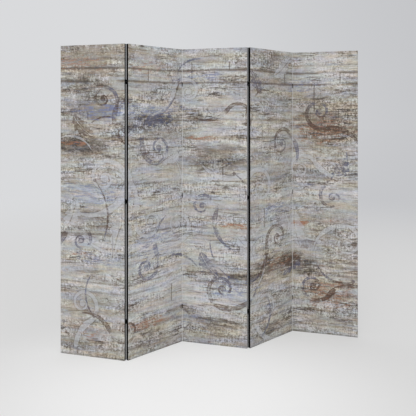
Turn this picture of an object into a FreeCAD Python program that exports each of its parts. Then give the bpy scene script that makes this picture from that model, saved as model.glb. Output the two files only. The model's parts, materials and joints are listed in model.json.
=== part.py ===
import FreeCAD, Part
import Sketcher

import os
import re

from FreeCAD import Placement, Rotation, Vector

# A folding room divider of five canvas panels in an even zigzag, joined by twelve butt hinges.
#
# The screen stands on z = 0 with its zigzag along x and its printed front towards -y. The origin is
# on the floor under the centre of the middle panel. Every piece is drawn once, in the frame of one
# upright panel: x across the panel from its centre, y from front to back, z up from its bottom edge.
# What belongs to an edge is drawn at the right edge, with the hinge pins behind the back face. The
# same piece turned end for end or face for face serves the other edges, because the hinges lie evenly
# about mid-height. The nodes are groups of such copies, placed in the row.

# Driving sizes: name, value in millimetres or degrees, meaning
SIZES = (
    ("panel_width", 402.5, "width of one panel"),
    ("panel_height", 1780.0, "height of one panel"),
    ("rest_fold", 60.0, "turn from each panel to the next as the screen stands, degrees"),
    ("frame_depth", 18.0, "depth of the timber frame"),
    ("canvas_thickness", 0.5, "thickness of each canvas"),
    ("band_thickness", 0.5, "thickness of the black edge band"),
    ("stile_width", 32.0, "width of the upright frame members"),
    ("rail_width", 32.0, "width of the top and bottom rails"),
    ("cross_rail_width", 24.0, "width of the rails between them"),
    ("cross_rail_depth", 12.0, "depth of those rails, clear of both canvases"),
    ("tenon_length", 16.0, "reach of a tenon into the stile"),
    ("tenon_thickness", 6.0, "thickness of a tenon"),
    ("tenon_shoulder", 4.0, "shoulder above and below a tenon"),
    ("mortise_spare", 1.0, "glue space at the bottom of a mortise"),
    ("hinge_gap", 0.8, "gap between two panels opened flat"),
    ("hinge_height", 25.0, "height of a hinge"),
    ("hinge_inset", 214.0, "from a panel's top or bottom to the nearest hinge's centre"),
    ("leaf_thickness", 1.2, "thickness of a hinge leaf"),
    ("leaf_reach", 12.5, "reach of a leaf over the edge face, from the panel's face"),
    ("leaf_margin", 0.2, "space round a leaf in its recess"),
    ("knuckle_gap", 0.2, "gap between two knuckles"),
    ("barrel_clearance", 0.3, "space round a barrel"),
    ("pin_offset", 1.0, "distance of the pin's axis beyond the panel's face"),
    ("pin_radius", 1.0, "radius of a hinge pin"),
    ("pin_clearance", 0.05, "radial running clearance of the pin"),
    ("pin_head_radius", 1.6, "radius of the pin's heads"),
    ("pin_head_height", 0.6, "height of the pin's heads"),
    ("screw_radius", 1.25, "radius of a screw's shank"),
    ("screw_head_radius", 2.4, "radius of its countersunk head"),
    ("screw_length", 12.0, "length of a screw"),
    ("screw_tip", 3.0, "length of its point"),
    ("screw_clearance", 0.1, "space round a screw"),
    ("screw_spare", 1.0, "space past its point"),
    ("screw_spacing", 14.0, "distance between the two screws of a leaf"),
    ("screw_setback", 7.2, "distance of the screws from the panel's face"),
    ("slot_width", 0.5, "width of the cross slot in a screw's head"),
    ("slot_span", 2.6, "span of the cross slot"),
    ("slot_depth", 0.6, "depth of the cross slot"),
    ("overrun", 2.0, "reach of a cutting solid past the face it opens"),
)

PANELS = 5
MIDDLE_PANEL = (PANELS + 1) // 2
CROSS_RAIL_SHARES = (0.25, 0.5, 0.75)
HINGES = 3

# Worked out from the driving sizes
PANEL_DEPTH = "(frame_depth + 2 * canvas_thickness)"
EDGE = "(panel_width / 2)"
BACK = f"({PANEL_DEPTH} / 2)"
PITCH = (
    "((panel_width + hinge_gap) * cos(rest_fold / 2)"
    f" + ({PANEL_DEPTH} + 2 * pin_offset) * sin(rest_fold / 2))"
)
STILE_OUTSIDE = f"({EDGE} - band_thickness)"
STILE_INSIDE = f"({STILE_OUTSIDE} - stile_width)"
CROSS_RAIL_HEIGHTS = tuple(f"panel_height * {share}" for share in CROSS_RAIL_SHARES)
BOTTOM_RAIL_HEIGHT = "(band_thickness + rail_width / 2)"
TOP_RAIL_HEIGHT = f"(panel_height - {BOTTOM_RAIL_HEIGHT})"

PIN_X = f"({EDGE} + hinge_gap / 2)"
PIN_Y = f"({BACK} + pin_offset)"
BARREL_RADIUS = "(hinge_gap / 2 + leaf_thickness)"
NOTCH_RADIUS = f"({BARREL_RADIUS} + barrel_clearance)"
PIN_LENGTH = "(hinge_height + 2 * pin_head_height)"
NOTCH_HEIGHT = f"({PIN_LENGTH} + 2 * barrel_clearance)"
KNUCKLE_HEIGHT = "((hinge_height - 2 * knuckle_gap) / 3)"
LEAF_BACK = f"({EDGE} - leaf_thickness)"
LEAF_EDGE = f"({BACK} - leaf_reach)"
HINGE_HEIGHTS = ("hinge_inset", "panel_height / 2", "panel_height - hinge_inset")
PIN_FEET = tuple(f"{height} - {PIN_LENGTH} / 2" for height in HINGE_HEIGHTS)

SCREW_Y = f"({BACK} - screw_setback)"
SCREW_HOLE_RADIUS = "(screw_radius + screw_clearance)"
HEAD_HEIGHT = "(screw_head_radius - screw_radius)"

Z_TO_X = Rotation(Vector(0, 1, 0), 90)

doc = FreeCAD.newDocument("room_divider")
sheet = doc.addObject("Spreadsheet::Sheet", "Sizes")
for row, (alias, value, meaning) in enumerate(SIZES, start=1):
    sheet.set(f"A{row}", meaning)
    sheet.set(f"B{row}", str(value))
    sheet.setAlias(f"B{row}", alias)
doc.recompute()

ALIASES = re.compile(r"\b(" + "|".join(alias for alias, _, _ in SIZES) + r")\b")


def sized(text):
    """An expression in the sheet's sizes, with the sheet's name before each of them."""
    return ALIASES.sub(r"Sizes.\1", text)


def bind(item, **sizes):
    """Bind properties to expressions; a double underscore in a name stands for a dot."""
    for name, text in sizes.items():
        item.setExpression(name.replace("__", "."), sized(text))


def move(item, x="0", y="0", z="0"):
    bind(item, Placement__Base__x=x, Placement__Base__y=y, Placement__Base__z=z)


def centred(size):
    return f"-({size}) / 2", f"({size}) / 2"


def length(span):
    return f"{span[1]} - ({span[0]})"


def box(name, x, y, z):
    """A box between two expressions on each axis."""
    item = doc.addObject("Part::Box", name)
    bind(item, Length=length(x), Width=length(y), Height=length(z))
    move(item, x[0], y[0], z[0])
    return item


def round_the_pin(name, radius, z):
    """A cylinder about the hinge pin's axis."""
    item = doc.addObject("Part::Cylinder", name)
    bind(item, Radius=radius, Height=length(z))
    move(item, PIN_X, PIN_Y, z[0])
    return item


def fuse(name, parts):
    item = doc.addObject("Part::MultiFuse", name)
    item.Shapes = parts
    return item


def cut(name, base, *tools):
    item = doc.addObject("Part::Cut", name)
    item.Base = base
    item.Tool = tools[0] if len(tools) == 1 else fuse(name + "_tools", list(tools))
    return item


def copy(name, master, x="0", y="0", z="0", turn=Rotation()):
    """One copy of a piece, turned and moved on top of the piece's own place."""
    item = doc.addObject("App::Link", name)
    item.LinkedObject = master
    item.LinkTransform = True
    item.Placement = Placement(Vector(), turn)
    move(item, x, y, z)
    return item


def at_heights(name, master, heights, x="0", y="0", turn=Rotation()):
    """One group of copies of a piece at several heights."""
    item = doc.addObject("Part::Compound", name)
    item.Links = [
        copy(f"{name}_{i}", master, x, y, height, turn) for i, height in enumerate(heights, start=1)
    ]
    return item


# Timber frame, mortise and tenon
def rail(name, width, depth):
    """A rail about z = 0, with a tenon at both ends."""
    body = box(name + "_body", centred(f"2 * {STILE_INSIDE}"), centred(depth), centred(width))
    tenons = box(
        name + "_tenons",
        centred(f"2 * ({STILE_INSIDE} + tenon_length)"),
        centred("tenon_thickness"),
        centred(f"{width} - 2 * tenon_shoulder"),
    )
    return fuse(name, [body, tenons])


def mortises(name, width, heights):
    """Mortises in the right stile for rails of one width."""
    mortise = box(
        name + "_mortise",
        (f"{STILE_INSIDE} - overrun", f"({STILE_INSIDE} + tenon_length + mortise_spare)"),
        centred("tenon_thickness"),
        centred(f"{width} - 2 * tenon_shoulder"),
    )
    return at_heights(name, mortise, heights)


def make_plain_stile():
    blank = box(
        "stile_blank",
        (STILE_INSIDE, STILE_OUTSIDE),
        centred("frame_depth"),
        ("band_thickness", "(panel_height - band_thickness)"),
    )
    return cut(
        "plain_stile",
        blank,
        mortises("end_mortises", "rail_width", (BOTTOM_RAIL_HEIGHT, TOP_RAIL_HEIGHT)),
        mortises("cross_mortises", "cross_rail_width", CROSS_RAIL_HEIGHTS),
    )


# Canvas and edge band
def make_plain_canvas():
    """The back canvas, edge to edge."""
    return box(
        "plain_canvas",
        centred("panel_width"),
        ("(frame_depth / 2)", BACK),
        ("0", "panel_height"),
    )


def make_plain_side_strip():
    """The edge band on the right edge face, between the canvases."""
    return box(
        "plain_side_strip",
        (STILE_OUTSIDE, EDGE),
        centred("frame_depth"),
        ("0", "panel_height"),
    )


def make_end_strip():
    """The edge band under the panel, between the side strips."""
    return box(
        "end_strip",
        centred(f"2 * {STILE_OUTSIDE}"),
        centred("frame_depth"),
        ("0", "band_thickness"),
    )


# Recesses for the hinges in the right edge and the corner behind it
def make_hinge_pockets():
    recess = box(
        "leaf_recess",
        (LEAF_BACK, f"({EDGE} + overrun)"),
        (f"({LEAF_EDGE} - leaf_margin)", f"({BACK} + overrun)"),
        centred("hinge_height + 2 * leaf_margin"),
    )
    notch = round_the_pin("barrel_notch", NOTCH_RADIUS, centred(NOTCH_HEIGHT))
    return at_heights("hinge_pockets", fuse("hinge_pocket", [recess, notch]), HINGE_HEIGHTS)


def screw_holes(name, radius, x):
    """The two holes for the screws of a leaf about z = 0, along x."""
    hole = doc.addObject("Part::Cylinder", name + "_hole")
    hole.Placement = Placement(Vector(), Z_TO_X)
    bind(hole, Radius=radius, Height=length(x))
    move(hole, x[0], SCREW_Y)
    return at_heights(name, hole, centred("screw_spacing"))


# Hinges, each about z = 0
def make_countersinks():
    cone = doc.addObject("Part::Cone", "countersink")
    cone.Placement = Placement(Vector(), Z_TO_X)
    bind(
        cone,
        Radius1=SCREW_HOLE_RADIUS,
        Radius2="screw_head_radius + screw_clearance",
        Height=HEAD_HEIGHT,
    )
    move(cone, f"{EDGE} - {HEAD_HEIGHT}", SCREW_Y)
    return at_heights("countersinks", cone, centred("screw_spacing"))


def make_leaf_blank():
    """A leaf whose barrel runs its whole height, bored and drilled."""
    plate = box("leaf_plate", (LEAF_BACK, EDGE), (LEAF_EDGE, PIN_Y), centred("hinge_height"))
    barrel = round_the_pin("barrel", BARREL_RADIUS, centred("hinge_height"))
    bore = round_the_pin(
        "bore",
        "pin_radius + pin_clearance",
        centred("hinge_height + 2 * overrun"),
    )
    holes = screw_holes("leaf_holes", SCREW_HOLE_RADIUS, (f"{LEAF_BACK} - overrun", EDGE))
    return cut("leaf_blank", fuse("leaf_body", [plate, barrel]), bore, holes, make_countersinks())


def make_double_leaf(blank):
    """The leaf with the two outer knuckles."""
    space = round_the_pin(
        "middle_space",
        NOTCH_RADIUS,
        centred(f"{KNUCKLE_HEIGHT} + 2 * knuckle_gap"),
    )
    return cut("double_leaf", blank, space)


def make_single_leaf(blank):
    """The leaf with the knuckle between those two."""
    above = (f"({KNUCKLE_HEIGHT} / 2)", "(hinge_height / 2 + overrun)")
    below = tuple(f"-{height}" for height in reversed(above))
    spaces = [
        round_the_pin("upper_space", NOTCH_RADIUS, above),
        round_the_pin("lower_space", NOTCH_RADIUS, below),
    ]
    return cut("single_leaf", blank, *spaces)


def turned_body(name, outline):
    """A body turned about z from an outline of radius and height expressions."""
    body = doc.addObject("PartDesign::Body", name)
    sketch = body.newObject("Sketcher::SketchObject", name + "_outline")
    planes = {plane.Role: plane for plane in body.Origin.OriginFeatures}
    sketch.AttachmentSupport = [(planes["XZ_Plane"], "")]
    sketch.MapMode = "FlatFace"
    doc.recompute()
    corners = [Vector(*(sheet.evalExpression(sized(text)) for text in place)) for place in outline]
    for corner, following in zip(corners, corners[1:] + corners[:1]):
        sketch.addGeometry(Part.LineSegment(corner, following), False)
    for i in range(len(corners)):
        sketch.addConstraint(Sketcher.Constraint("Coincident", i, 2, (i + 1) % len(corners), 1))
    for i, (place, corner) in enumerate(zip(outline, corners)):
        for text, start, kind, axis in zip(place, corner, ("DistanceX", "DistanceY"), (-2, -1)):
            if text == "0":
                sketch.addConstraint(Sketcher.Constraint("PointOnObject", i, 1, axis))
                continue
            index = sketch.addConstraint(Sketcher.Constraint(kind, -1, 1, i, 1, start))
            sketch.renameConstraint(index, f"{kind}_{i}")
            sketch.setExpression(f"Constraints.{kind}_{i}", sized(text))
    solid = body.newObject("PartDesign::Revolution", name + "_solid")
    solid.Profile = sketch
    solid.ReferenceAxis = (sketch, ["V_Axis"])
    solid.Angle = 360
    return body


def make_pin():
    """A hinge pin with a head at both ends, standing on z = 0."""
    neck = "pin_head_height"
    upper_neck = f"({PIN_LENGTH} - pin_head_height)"
    return turned_body(
        "hinge_pin",
        (
            ("0", "0"),
            ("pin_head_radius", "0"),
            ("pin_head_radius", neck),
            ("pin_radius", neck),
            ("pin_radius", upper_neck),
            ("pin_head_radius", upper_neck),
            ("pin_head_radius", PIN_LENGTH),
            ("0", PIN_LENGTH),
        ),
    )


def make_screw():
    """A countersunk wood screw, its point on z = 0."""
    body = turned_body(
        "screw_body",
        (
            ("0", "0"),
            ("screw_radius", "screw_tip"),
            ("screw_radius", f"screw_length - {HEAD_HEIGHT}"),
            ("screw_head_radius", "screw_length"),
            ("0", "screw_length"),
        ),
    )
    slot_z = ("(screw_length - slot_depth)", "(screw_length + overrun)")
    slots = [
        box("first_slot", centred("slot_span"), centred("slot_width"), slot_z),
        box("second_slot", centred("slot_width"), centred("slot_span"), slot_z),
    ]
    return cut("screw", body, *slots)


plain_stile = make_plain_stile()
plain_canvas = make_plain_canvas()
plain_side_strip = make_plain_side_strip()
end_strip = make_end_strip()
end_rail = rail("end_rail", "rail_width", "frame_depth")
bottom_rail = at_heights("bottom_rail", end_rail, (BOTTOM_RAIL_HEIGHT,))
cross_rail = rail("cross_rail", "cross_rail_width", "cross_rail_depth")
cross_rails = at_heights("cross_rails", cross_rail, CROSS_RAIL_HEIGHTS)

hinge_pockets = make_hinge_pockets()
pilot_holes = screw_holes(
    "pilot_holes",
    SCREW_HOLE_RADIUS,
    (f"({EDGE} - screw_length - screw_spare)", EDGE),
)
hinged_stile = cut(
    "hinged_stile",
    plain_stile,
    hinge_pockets,
    at_heights("all_pilot_holes", pilot_holes, HINGE_HEIGHTS),
)
hinged_canvas = cut("hinged_canvas", plain_canvas, hinge_pockets)
hinged_side_strip = cut("hinged_side_strip", plain_side_strip, hinge_pockets)

leaf_blank = make_leaf_blank()
left_leaves = at_heights("left_leaves", make_double_leaf(leaf_blank), HINGE_HEIGHTS)
right_leaves = at_heights("right_leaves", make_single_leaf(leaf_blank), HINGE_HEIGHTS)
pins = at_heights("pins", make_pin(), PIN_FEET, PIN_X, PIN_Y)
screw_pair = at_heights(
    "screw_pair",
    make_screw(),
    centred("screw_spacing"),
    f"{EDGE} - screw_length",
    SCREW_Y,
    Z_TO_X,
)
leaf_screws = at_heights("leaf_screws", screw_pair, HINGE_HEIGHTS)

# How a piece drawn at the right edge and the back face is turned to serve each edge and face
TURNS = {
    ("right", "back"): (Rotation(), "0"),
    ("left", "front"): (Rotation(Vector(0, 0, 1), 180), "0"),
    ("left", "back"): (Rotation(Vector(0, 1, 0), 180), "panel_height"),
    ("right", "front"): (Rotation(Vector(1, 0, 0), 180), "panel_height"),
}
nodes = []


def node(label, panel, *pieces, solids=1):
    """Pieces of one panel, each given as a master with its edge and face, placed in the row."""
    item = doc.addObject("Part::Compound", label)
    item.Label = label
    links = []
    for i, (master, edge, face) in enumerate(pieces, start=1):
        turn, height = TURNS[edge, face]
        links.append(copy(f"{label}_piece_{i}", master, z=height, turn=turn))
    item.Links = links
    towards_the_back = 1 if panel % 2 == 0 else -1
    bind(
        item,
        Placement__Base__x=f"{PITCH} * {panel - MIDDLE_PANEL}",
        Placement__Rotation__Angle=f"rest_fold / 2 * {towards_the_back}",
    )
    nodes.append((item, solids))


def pin_face(joint):
    """The face that carries the pins of the joint after the panel of that number."""
    return "back" if joint % 2 else "front"


def add_panel(panel):
    hinged = {}
    if panel > 1:
        hinged["left"] = pin_face(panel - 1)
    if panel < PANELS:
        hinged["right"] = pin_face(panel)
    name = f"panel_{panel}"
    strips = [(end_strip, "right", "back"), (end_strip, "right", "front")]
    for edge in ("left", "right"):
        stile = hinged_stile if edge in hinged else plain_stile
        strip = hinged_side_strip if edge in hinged else plain_side_strip
        face = hinged.get(edge, "back")
        node(f"{name}_{edge}_stile", panel, (stile, edge, face))
        strips.append((strip, edge, face))
    node(f"{name}_bottom_rail", panel, (bottom_rail, "right", "back"))
    node(f"{name}_top_rail", panel, (bottom_rail, "right", "front"))
    node(f"{name}_cross_rails", panel, (cross_rails, "right", "back"), solids=len(CROSS_RAIL_SHARES))
    for face in ("front", "back"):
        notched = [edge for edge in hinged if hinged[edge] == face]
        canvas = hinged_canvas if notched else plain_canvas
        node(f"{name}_{face}_canvas", panel, (canvas, (notched or ["right"])[0], face))
    node(f"{name}_edge_band", panel, *strips, solids=len(strips))
    screws = [(leaf_screws, edge, face) for edge, face in hinged.items()]
    node(f"{name}_hinge_screws", panel, *screws, solids=2 * HINGES * len(screws))


def add_joint(joint):
    face = pin_face(joint)
    name = f"hinge_{joint}_{joint + 1}"
    node(f"{name}_left_leaves", joint, (left_leaves, "right", face), solids=HINGES)
    node(f"{name}_right_leaves", joint + 1, (right_leaves, "left", face), solids=HINGES)
    node(f"{name}_pins", joint, (pins, "right", face), solids=HINGES)


for panel in range(1, PANELS + 1):
    add_panel(panel)
for joint in range(1, PANELS):
    add_joint(joint)

doc.recompute()

faults = [item.Name for item in doc.Objects if {"Invalid", "Error"} & set(item.State)]
for item, solids in nodes:
    shape = item.Shape
    if shape.isNull() or not shape.isValid() or len(shape.Solids) != solids:
        faults.append(f"{item.Label}: {len(shape.Solids)} solids, {solids} expected")
if faults:
    raise RuntimeError("the model has faults: " + ", ".join(faults))

os.makedirs("parts", exist_ok=True)
for item, _ in nodes:
    item.Shape.exportStep(f"parts/{item.Label}.step")

whole = FreeCAD.BoundBox()
for item, _ in nodes:
    whole.add(item.Shape.BoundBox)
print(f"{len(nodes)} nodes, {sum(solids for _, solids in nodes)} solids")
print(f"overall {whole.XLength:.1f} x {whole.YLength:.1f} x {whole.ZLength:.1f} mm")
print(f"from z {whole.ZMin:.3f}, centre x {whole.Center.x:.3f}, y {whole.Center.y:.3f}")
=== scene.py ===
import json
import math

import bmesh
import bpy
from mathutils import Matrix, Vector

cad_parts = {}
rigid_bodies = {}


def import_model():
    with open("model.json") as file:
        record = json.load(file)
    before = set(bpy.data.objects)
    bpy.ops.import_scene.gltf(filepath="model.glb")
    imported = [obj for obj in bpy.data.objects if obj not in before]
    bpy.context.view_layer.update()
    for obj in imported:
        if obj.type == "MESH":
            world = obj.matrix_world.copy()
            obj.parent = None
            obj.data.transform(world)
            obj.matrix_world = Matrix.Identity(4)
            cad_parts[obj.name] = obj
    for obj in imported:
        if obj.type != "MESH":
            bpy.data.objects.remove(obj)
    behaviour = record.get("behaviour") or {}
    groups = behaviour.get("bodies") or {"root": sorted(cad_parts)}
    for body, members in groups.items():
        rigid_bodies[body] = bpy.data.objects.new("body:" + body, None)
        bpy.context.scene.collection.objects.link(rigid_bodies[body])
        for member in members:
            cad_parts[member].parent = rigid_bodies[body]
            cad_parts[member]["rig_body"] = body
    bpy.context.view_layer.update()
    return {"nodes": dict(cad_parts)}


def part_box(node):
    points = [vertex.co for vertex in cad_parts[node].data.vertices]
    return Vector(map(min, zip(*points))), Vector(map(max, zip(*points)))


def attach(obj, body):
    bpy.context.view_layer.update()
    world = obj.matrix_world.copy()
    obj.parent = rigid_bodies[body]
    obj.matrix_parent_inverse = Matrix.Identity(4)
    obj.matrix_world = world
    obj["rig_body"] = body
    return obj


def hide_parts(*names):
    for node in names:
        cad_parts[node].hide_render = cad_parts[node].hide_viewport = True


# A folding room divider of five printed canvas panels. Lengths are in metres in the frame of the
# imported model: zigzag along x, printed front towards -y, floor at z = 0.

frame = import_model()

# Driving sizes, as in the model
MM = 0.001
PANELS = 5
PANEL_WIDTH = 402.5 * MM
PANEL_HEIGHT = 1780 * MM
FRAME_DEPTH = 18 * MM
CANVAS_THICKNESS = 0.5 * MM
HALF_FOLD = math.radians(30)
STILE_WIDTH = 32 * MM
HINGE_SPAN = 27 * MM
HINGE_INSET = 214 * MM
SLIT_DEPTH = 1.4 * MM

PRINT_MAP = "print_place"

scene = bpy.context.scene
scene.view_settings.view_transform = "Standard"


# Shader formulas
class Field:
    """A number, vector or colour that varies over a surface. Sums of fields become nodes."""

    def __init__(self, tree, socket):
        self.tree = tree
        self.socket = socket

    def __add__(self, other):
        return calculate("ADD", self, other)

    def __radd__(self, other):
        return calculate("ADD", self, other)

    def __sub__(self, other):
        return calculate("SUBTRACT", self, other)

    def __rsub__(self, other):
        return calculate("SUBTRACT", other, self)

    def __mul__(self, other):
        return calculate("MULTIPLY", self, other)

    def __rmul__(self, other):
        return calculate("MULTIPLY", self, other)

    def __truediv__(self, other):
        return calculate("DIVIDE", self, other)


def add_node(tree, kind, inputs, output=0, **settings):
    """One node with its settings and inputs, given as fields or plain values; returns an output."""
    item = tree.nodes.new(kind)
    for name, value in settings.items():
        setattr(item, name, value)
    for name, value in inputs.items():
        if isinstance(value, Field):
            tree.links.new(value.socket, item.inputs[name])
        else:
            item.inputs[name].default_value = value
    return Field(tree, item.outputs[output])


def tree_of(values):
    """The tree of the first field among some values."""
    return next(value.tree for value in values if isinstance(value, Field))


def calculate(operation, *values, clamp=False):
    """A sum, product or other formula of numbers that vary over a surface."""
    inputs = dict(enumerate(values))
    return add_node(tree_of(values), "ShaderNodeMath", inputs, operation=operation, use_clamp=clamp)


def vector_math(operation, *values, output="Vector"):
    """A formula of vectors; those that give one number have it as the output Value."""
    inputs = dict(enumerate(values))
    return add_node(tree_of(values), "ShaderNodeVectorMath", inputs, output, operation=operation)


def length(field):
    """The length of a vector."""
    return vector_math("LENGTH", field, output="Value")


def largest(fields):
    """The greatest of several fields, each taken in as soon as it is made."""
    total = None
    for field in fields:
        total = field if total is None else calculate("MAXIMUM", total, field)
    return total


def summed(fields):
    """The sum of several fields, each taken in as soon as it is made."""
    total = None
    for field in fields:
        total = field if total is None else total + field
    return total


def vector(x, y):
    """A flat vector from its two parts."""
    return add_node(tree_of((x, y)), "ShaderNodeCombineXYZ", {"X": x, "Y": y, "Z": 0.0})


def parts(field):
    """The x, y and z of a vector."""
    item = field.tree.nodes.new("ShaderNodeSeparateXYZ")
    field.tree.links.new(field.socket, item.inputs[0])
    return [Field(field.tree, output) for output in item.outputs]


def smooth(field, low, high):
    """0 at low, 1 at high, with a soft start and end."""
    inputs = {"Value": field, "From Min": low, "From Max": high, "To Min": 0.0, "To Max": 1.0}
    return add_node(field.tree, "ShaderNodeMapRange", inputs, interpolation_type="SMOOTHSTEP")


def noise(
    place, scale=1.0, detail=2.0, roughness=0.5, distortion=0.0, stretch=(1, 1, 1), seed=0.0
):
    """Even noise from 0 to 1 about 0.5, stretched along its axes where that is asked for."""
    inputs = {
        "Vector": place,
        "Scale": scale,
        "Detail": detail,
        "Roughness": roughness,
        "Distortion": distortion,
    }
    result = add_node(place.tree, "ShaderNodeTexNoise", inputs)
    mapping = result.socket.node.texture_mapping
    mapping.scale = stretch
    mapping.translation = (0, 0, seed)
    return result


def mix(factor, first, second, blend="MIX"):
    """The first colour at factor 0, the second at factor 1."""
    tree = tree_of((factor, first, second))
    inputs = {"Factor": factor, "A": first, "B": second}
    kind = {"data_type": "RGBA", "blend_type": blend}
    return add_node(tree, "ShaderNodeMix", inputs, "Result", **kind)


def srgb(red, green, blue):
    """A colour as the screen shows it, from 0 to 255, made linear."""
    shares = (value / 255 for value in (red, green, blue))
    return (*(((share + 0.055) / 1.055) ** 2.4 for share in shares), 1.0)


def ramp(field, *stops):
    """A colour by position: each stop is a position and a colour."""
    result = add_node(field.tree, "ShaderNodeValToRGB", {0: field})
    elements = result.socket.node.color_ramp.elements
    while len(elements) < len(stops):
        elements.new(0.5)
    for element, (position, colour) in zip(elements, stops):
        element.position = position
        element.color = colour
    return result


def new_material(name):
    """A material with its tree and its shader."""
    item = bpy.data.materials.new(name)
    item.use_nodes = True
    return item, item.node_tree, item.node_tree.nodes["Principled BSDF"]


def connect(shader, **fields):
    """Link fields to the shader's inputs; an underscore stands for a space."""
    for name, field in fields.items():
        field.tree.links.new(field.socket, shader.inputs[name.replace("_", " ")])


def bump(height, distance):
    """A surface normal tilted by a relief of a given depth."""
    inputs = {"Height": height, "Distance": distance, "Strength": 1.0}
    return add_node(height.tree, "ShaderNodeBump", inputs)


def object_place(tree):
    """The place on a piece in the model's frame."""
    return add_node(tree, "ShaderNodeTexCoord", {}, "Object")


# Ornaments of the print
def new_ornament(name, **settings):
    """A group with a place, a size, the ornament's axes and its own settings.

    Gives the settings by name and the place across and along the ornament from its centre."""
    tree = bpy.data.node_groups.new(name, "ShaderNodeTree")
    vectors = dict.fromkeys(("place", "centre", "across_axis", "along_axis"), (0, 0, 0))
    for label, value in {**vectors, "size": 0.1, **settings}.items():
        kind = "NodeSocketVector" if label in vectors else "NodeSocketFloat"
        socket = tree.interface.new_socket(label, in_out="INPUT", socket_type=kind)
        socket.default_value = value
    tree.interface.new_socket("depth", in_out="OUTPUT", socket_type="NodeSocketFloat")
    source = tree.nodes.new("NodeGroupInput")
    given = {socket.name: Field(tree, socket) for socket in source.outputs if socket.name}
    offset = vector_math("SUBTRACT", given["place"], given["centre"])
    across = vector_math("DOT_PRODUCT", offset, given["across_axis"], output="Value")
    along = vector_math("DOT_PRODUCT", offset, given["along_axis"], output="Value")
    return given, across, along


def end_ornament(depth):
    """Give the depth as the group's outcome: above 0 inside the ornament, below 0 outside."""
    sink = depth.tree.nodes.new("NodeGroupOutput")
    depth.tree.links.new(depth.socket, sink.inputs[0])
    return depth.tree


def make_scroll_group():
    """A volute that winds inwards to an eye, with a lobed tail that swells and ends in a point."""
    winding = 0.20
    thickness = 0.125
    taper = 0.7
    eye = 0.155
    laps = 1.0
    swell = 1.3
    lobe_count = 3.0
    lobe_height = 0.3
    given, across, along = new_ornament(
        "scroll", hand=1.0, tail_side=1.0, tail_radius=1.6, tail_sweep=1.6
    )
    x = across / given["size"]
    y = along / given["size"] * given["hand"]
    radius = length(vector(x, y))
    full_turn = 2 * math.pi
    angle = calculate("FLOORED_MODULO", calculate("ARCTAN2", y, x), full_turn)

    wanted = calculate("LOGARITHM", radius, math.e) / -winding
    lap = calculate("ROUND", (wanted - angle) / full_turn)
    lap = calculate("MINIMUM", calculate("MAXIMUM", lap, 0.0), laps)
    arm = calculate("EXPONENT", (angle + lap * full_turn) * -winding)
    half = thickness * calculate("POWER", arm, taper)
    volute = half - calculate("ABSOLUTE", radius - arm)
    middle = eye - radius

    side = given["tail_side"]
    reach = given["tail_radius"]
    from_hub = x - (side * reach + 1.0)
    spoke = length(vector(from_hub, y))
    sweep = calculate("ARCTAN2", y * -1.0, from_hub * side * -1.0) / given["tail_sweep"]
    swelling = (1.0 - sweep) * (1.0 + swell * sweep)
    wave = calculate("SINE", sweep * lobe_count * math.pi)
    lobes = 1.0 + lobe_height * calculate("ABSOLUTE", wave)
    present = calculate("GREATER_THAN", sweep, 0.0)
    tail = thickness * swelling * lobes - calculate("ABSOLUTE", spoke - reach)
    tail = tail * present - (1.0 - present)
    return end_ornament(largest([volute, middle, tail]) * given["size"])


def make_leaf_group():
    """A lobed leaf along its first axis from its stalk, with a bare midrib."""
    half_width = 0.26
    lobe_count = 5.0
    lobe_share = 0.38
    slant = 0.6
    half_rib = 0.012
    given, across, along = new_ornament("leaf", bend=0.3)
    x = across / given["size"]
    y = along / given["size"] - given["bend"] * x * x
    inside = calculate("MAXIMUM", calculate("SINE", x * math.pi), 0.0)
    present = calculate("GREATER_THAN", x, 0.0) * calculate("LESS_THAN", x, 1.0)
    height = calculate("ABSOLUTE", y)
    wave = calculate("SINE", (x - slant * height) * lobe_count * math.pi)
    lobes = (1.0 - lobe_share) + lobe_share * calculate("ABSOLUTE", wave)
    blade = half_width * inside * lobes - height
    rib = height - half_rib
    depth = calculate("MINIMUM", blade, rib)
    return end_ornament((depth * present - (1.0 - present)) * given["size"])


def make_stem_group():
    """A slender arc that swells in the middle, with a bud at its far end."""
    end_share = 0.35
    bud_share = 1.7
    given, x, y = new_ornament("stem", sweep=1.5, width=0.005)
    size = given["size"]
    width = given["width"]
    radius = length(vector(x, y))
    share = calculate("ARCTAN2", y, x) / given["sweep"]
    within = calculate("GREATER_THAN", share, 0.0) * calculate("LESS_THAN", share, 1.0)
    swelling = end_share + (1.0 - end_share) * calculate("SINE", share * math.pi)
    arc = width * swelling - calculate("ABSOLUTE", radius - size)
    arc = arc * within - (1.0 - within)
    from_end_x = x - size * calculate("COSINE", given["sweep"])
    from_end_y = y - size * calculate("SINE", given["sweep"])
    bud = width * bud_share - length(vector(from_end_x, from_end_y))
    return end_ornament(calculate("MAXIMUM", arc, bud))


def ornament(group, place, centre, size, turn, **settings):
    """The depth inside one ornament, turned clockwise by a number of degrees."""
    item = place.tree.nodes.new("ShaderNodeGroup")
    item.node_tree = group
    place.tree.links.new(place.socket, item.inputs["place"])
    angle = math.radians(turn)
    values = {
        "centre": (*centre, 0.0),
        "size": size,
        "across_axis": (math.cos(angle), -math.sin(angle), 0.0),
        "along_axis": (math.sin(angle), math.cos(angle), 0.0),
        **settings,
    }
    for name, value in values.items():
        item.inputs[name].default_value = value
    return Field(place.tree, item.outputs[0])


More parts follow.
